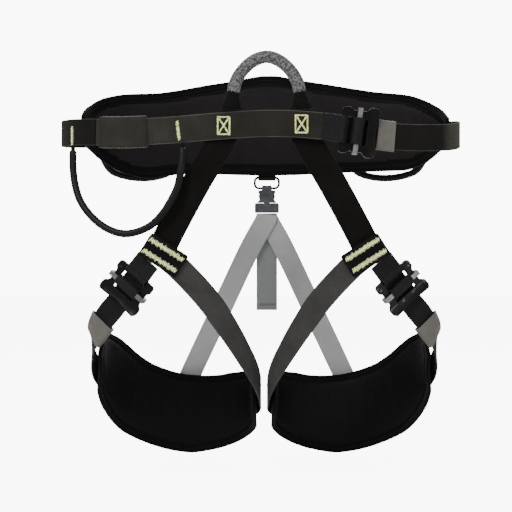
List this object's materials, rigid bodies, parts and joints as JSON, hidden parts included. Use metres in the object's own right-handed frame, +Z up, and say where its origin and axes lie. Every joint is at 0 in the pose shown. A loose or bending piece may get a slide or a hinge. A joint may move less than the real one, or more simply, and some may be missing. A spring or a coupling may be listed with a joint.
{
  "type": "tree climbing saddle",
  "caption": "Padded waist belt and leg loops of black webbing with self-locking buckles, rope bridge, gear loops and elastic rear risers.",
  "frame": {"origin": "the middle of the waist opening, at the height of the belt's ends", "axes": "+X to the viewer's right when the front is seen, +Y towards the wearer's back, +Z up; the front faces -Y"},
  "size_m": [0.5415, 0.2281, 0.5447],
  "materials": {
    "webbing": "woven polyester webbing",
    "pad_fabric": "smooth woven nylon",
    "foam": "closed cell foam",
    "elastic": "ribbed elastic",
    "rope": "braided cover",
    "keeper": "satin",
    "buckle_metal": "dark anodised",
    "buckle_plastic": "moulded acetal",
    "prong_plastic": "moulded acetal",
    "gear_tube": "extruded tube",
    "thread": "bar tack thread"
  },
  "bodies": {
    "saddle": {"back_pad_cover": "pad_fabric", "back_pad_foam": "foam", "back_pad_lining": "pad_fabric", "belt_splice_sleeve": "webbing", "gear_tack_inner": "thread", "gear_tack_outer": "thread", "junction_patch_left": "webbing", "junction_patch_right": "webbing", "junction_tack_lower_left": "thread", "junction_tack_lower_right": "thread", "junction_tack_upper_left": "thread", "junction_tack_upper_right": "thread", "leg_buckle_left_loop": "webbing", "leg_buckle_right_loop": "webbing", "leg_pad_cover_left": "pad_fabric", "leg_pad_cover_right": "pad_fabric", "leg_pad_foam_left": "foam", "leg_pad_foam_right": "foam", "leg_pad_lining_left": "pad_fabric", "leg_pad_lining_right": "pad_fabric", "leg_riser_left": "webbing", "leg_riser_right": "webbing", "leg_strap_keeper_left": "keeper", "leg_strap_keeper_right": "keeper", "leg_webbing_left": "webbing", "leg_webbing_right": "webbing", "pad_belt_loop_left": "webbing", "pad_belt_loop_right": "webbing", "rear_ring": "buckle_metal", "rear_tab": "webbing", "riser_buckle_female": "buckle_plastic", "riser_tack_left": "thread", "riser_tack_right": "thread", "waist_buckle_loop": "webbing", "waist_strap_keeper": "keeper", "waist_webbing_front": "webbing", "waist_webbing_rear": "webbing"},
    "waist_buckle": {"waist_buckle_frame": "buckle_metal"},
    "waist_buckle_bar": {"waist_buckle_slide_bar": "buckle_metal", "waist_buckle_bar_wrap": "webbing"},
    "leg_buckle_left": {"leg_buckle_left_frame": "buckle_metal"},
    "leg_buckle_left_bar": {"leg_buckle_left_slide_bar": "buckle_metal", "leg_buckle_left_bar_wrap": "webbing"},
    "leg_buckle_right": {"leg_buckle_right_frame": "buckle_metal"},
    "leg_buckle_right_bar": {"leg_buckle_right_slide_bar": "buckle_metal", "leg_buckle_right_bar_wrap": "webbing"},
    "bridge": {"rope_bridge": "rope", "bridge_sleeve_left": "webbing", "bridge_sleeve_right": "webbing"},
    "front_gear_loop": {"gear_loop_front": "gear_tube"},
    "rear_left_gear_loop": {"gear_loop_rear_left": "gear_tube"},
    "rear_right_gear_loop": {"gear_loop_rear_right": "gear_tube"},
    "riser_clip": {"riser_buckle_male": "buckle_plastic", "elastic_riser_left": "elastic", "elastic_riser_right": "elastic", "elastic_tail": "elastic"},
    "left_prong": {"riser_prong_left": "prong_plastic"},
    "right_prong": {"riser_prong_right": "prong_plastic"}
  },
  "joints": [
    {"name": "waist_buckle_tilt", "type": "hinge", "parent": "saddle", "child": "waist_buckle", "pos_m": [0.10129, -0.09795, 0.00873], "axis": [-0.1393, -0.0139, -0.9901], "range_deg": [0, 35]},
    {"name": "waist_buckle_bar_slide", "type": "slide", "parent": "waist_buckle", "child": "waist_buckle_bar", "axis": [0.9851, 0.1, -0.14], "range_m": [-0.003, 0.003]},
    {"name": "leg_buckle_left_tilt", "type": "hinge", "parent": "saddle", "child": "leg_buckle_left", "pos_m": [-0.16631, -0.08829, -0.18099], "axis": [-0.7226, 0.2645, 0.6386], "range_deg": [0, 35]},
    {"name": "leg_buckle_left_bar_slide", "type": "slide", "parent": "leg_buckle_left", "child": "leg_buckle_left_bar", "axis": [-0.5996, 0.2199, -0.7695], "range_m": [-0.003, 0.003]},
    {"name": "leg_buckle_right_tilt", "type": "hinge", "parent": "saddle", "child": "leg_buckle_right", "pos_m": [0.16631, -0.08829, -0.18099], "axis": [-0.7226, -0.2645, -0.6386], "range_deg": [0, 35]},
    {"name": "leg_buckle_right_bar_slide", "type": "slide", "parent": "leg_buckle_right", "child": "leg_buckle_right_bar", "axis": [0.5996, 0.2199, -0.7695], "range_m": [-0.003, 0.003]},
    {"name": "bridge_swing", "type": "hinge", "parent": "saddle", "child": "bridge", "pos_m": [0.0027, -0.087, 0.0425], "axis": [1, 0, 0], "range_deg": [-60, 95]},
    {"name": "front_gear_loop_swing", "type": "hinge", "parent": "saddle", "child": "front_gear_loop", "pos_m": [-0.254, -0.0505, -0.0123], "axis": [-0.9539, 0.3001, -0.0026], "range_deg": [0, 75]},
    {"name": "rear_right_gear_loop_swing", "type": "hinge", "parent": "saddle", "child": "rear_right_gear_loop", "pos_m": [0.118, 0.105, 0.008], "axis": [0.9669, -0.2526, -0.0348], "range_deg": [0, 70]},
    {"name": "rear_left_gear_loop_swing", "type": "hinge", "parent": "saddle", "child": "rear_left_gear_loop", "pos_m": [-0.118, 0.105, 0.008], "axis": [0.9669, 0.2526, 0.0348], "range_deg": [0, 70]},
    {"name": "riser_release", "type": "slide", "parent": "saddle", "child": "riser_clip", "axis": [0, 0, -1], "range_m": [0, 0.018], "deforming": ["elastic_riser_left", "elastic_riser_right"]},
    {"name": "left_prong_squeeze", "type": "hinge", "parent": "riser_clip", "child": "left_prong", "pos_m": [-0.005, 0.1042, -0.0804], "axis": [0, 1, 0], "range_deg": [0, 8], "stiffness_Nm_per_rad": 0.05},
    {"name": "right_prong_squeeze", "type": "hinge", "parent": "riser_clip", "child": "right_prong", "pos_m": [0.014, 0.1042, -0.0804], "axis": [0, -1, 0], "range_deg": [0, 8], "stiffness_Nm_per_rad": 0.05}
  ],
  "couplings": [
    {"joint": "right_prong_squeeze", "follows": "left_prong_squeeze", "ratio": 1}
  ]
}
